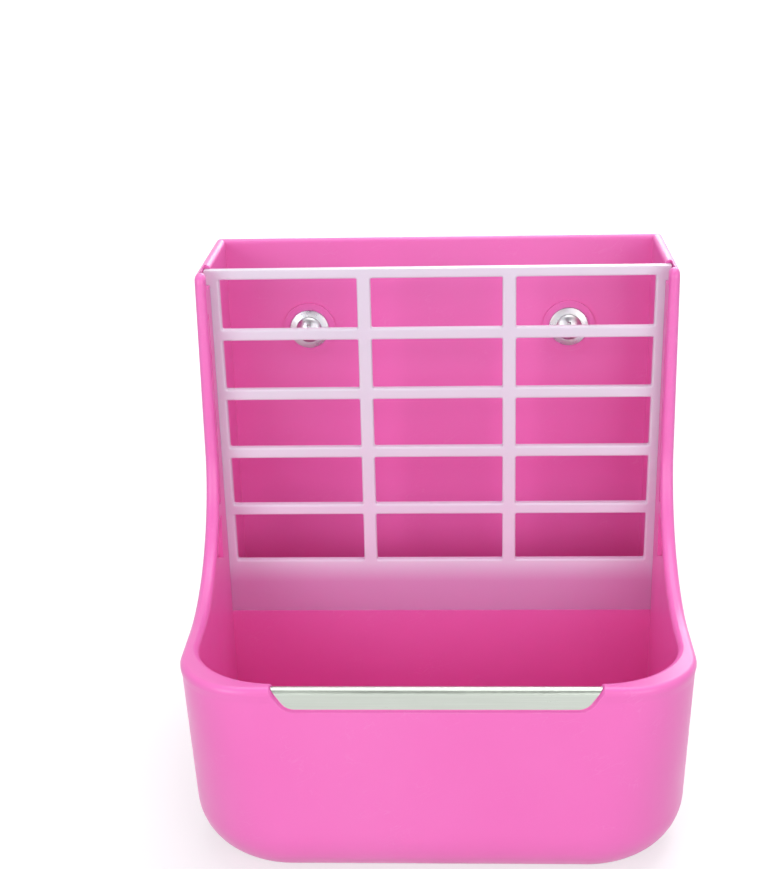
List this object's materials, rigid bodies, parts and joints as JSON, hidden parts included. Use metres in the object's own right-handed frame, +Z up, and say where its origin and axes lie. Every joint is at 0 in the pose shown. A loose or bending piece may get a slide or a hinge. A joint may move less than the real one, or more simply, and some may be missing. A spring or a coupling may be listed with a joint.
{
  "type": "hay feeder box",
  "caption": "Plastic feeder for small pets: a food bowl in front of a hay rack with a lift-out barred grille, a steel guard on the rim and bolts to clamp it to cage wire.",
  "frame": {"origin": "centre of the shell's footprint, on the flat base", "axes": "+Z up, -Y towards the bowl's front, +X to the viewer's right"},
  "size_m": [0.17, 0.1738, 0.185],
  "materials": {
    "pink_plastic": "moulded polypropylene, satin gloss",
    "pale_plastic": "moulded polypropylene, pale and slightly translucent",
    "guard_steel": "folded stainless sheet, fine brushed",
    "zinc_steel": "bright zinc plate"
  },
  "bodies": {
    "feeder": {"shell": "pink_plastic", "chew_guard": "guard_steel", "left_bolt": "zinc_steel", "left_head_washer": "zinc_steel", "right_bolt": "zinc_steel", "right_head_washer": "zinc_steel"},
    "grille": {"grille_panel": "pale_plastic"},
    "left_clamp": {"left_clamp_washer": "zinc_steel"},
    "left_nut": {"left_wing_nut": "zinc_steel"},
    "right_clamp": {"right_clamp_washer": "zinc_steel"},
    "right_nut": {"right_wing_nut": "zinc_steel"}
  },
  "joints": [
    {"name": "grille_lift", "type": "slide", "parent": "feeder", "child": "grille", "axis": [0, 0, 1], "range_m": [0, 0.14]},
    {"name": "left_clamp_travel", "type": "slide", "parent": "feeder", "child": "left_clamp", "axis": [0, 1, 0], "range_m": [0, 0.0192]},
    {"name": "left_nut_turn", "type": "hinge", "parent": "left_clamp", "child": "left_nut", "pos_m": [-0.05, 0.08, 0.15], "axis": [0, 1, 0], "range_deg": [0, 8640]},
    {"name": "right_clamp_travel", "type": "slide", "parent": "feeder", "child": "right_clamp", "axis": [0, 1, 0], "range_m": [0, 0.0192]},
    {"name": "right_nut_turn", "type": "hinge", "parent": "right_clamp", "child": "right_nut", "pos_m": [0.05, 0.08, 0.15], "axis": [0, 1, 0], "range_deg": [0, 8640]}
  ],
  "couplings": [
    {"joint": "left_clamp_travel", "follows": "left_nut_turn", "m_per_rad": 0.00012732},
    {"joint": "right_clamp_travel", "follows": "right_nut_turn", "m_per_rad": 0.00012732}
  ]
}
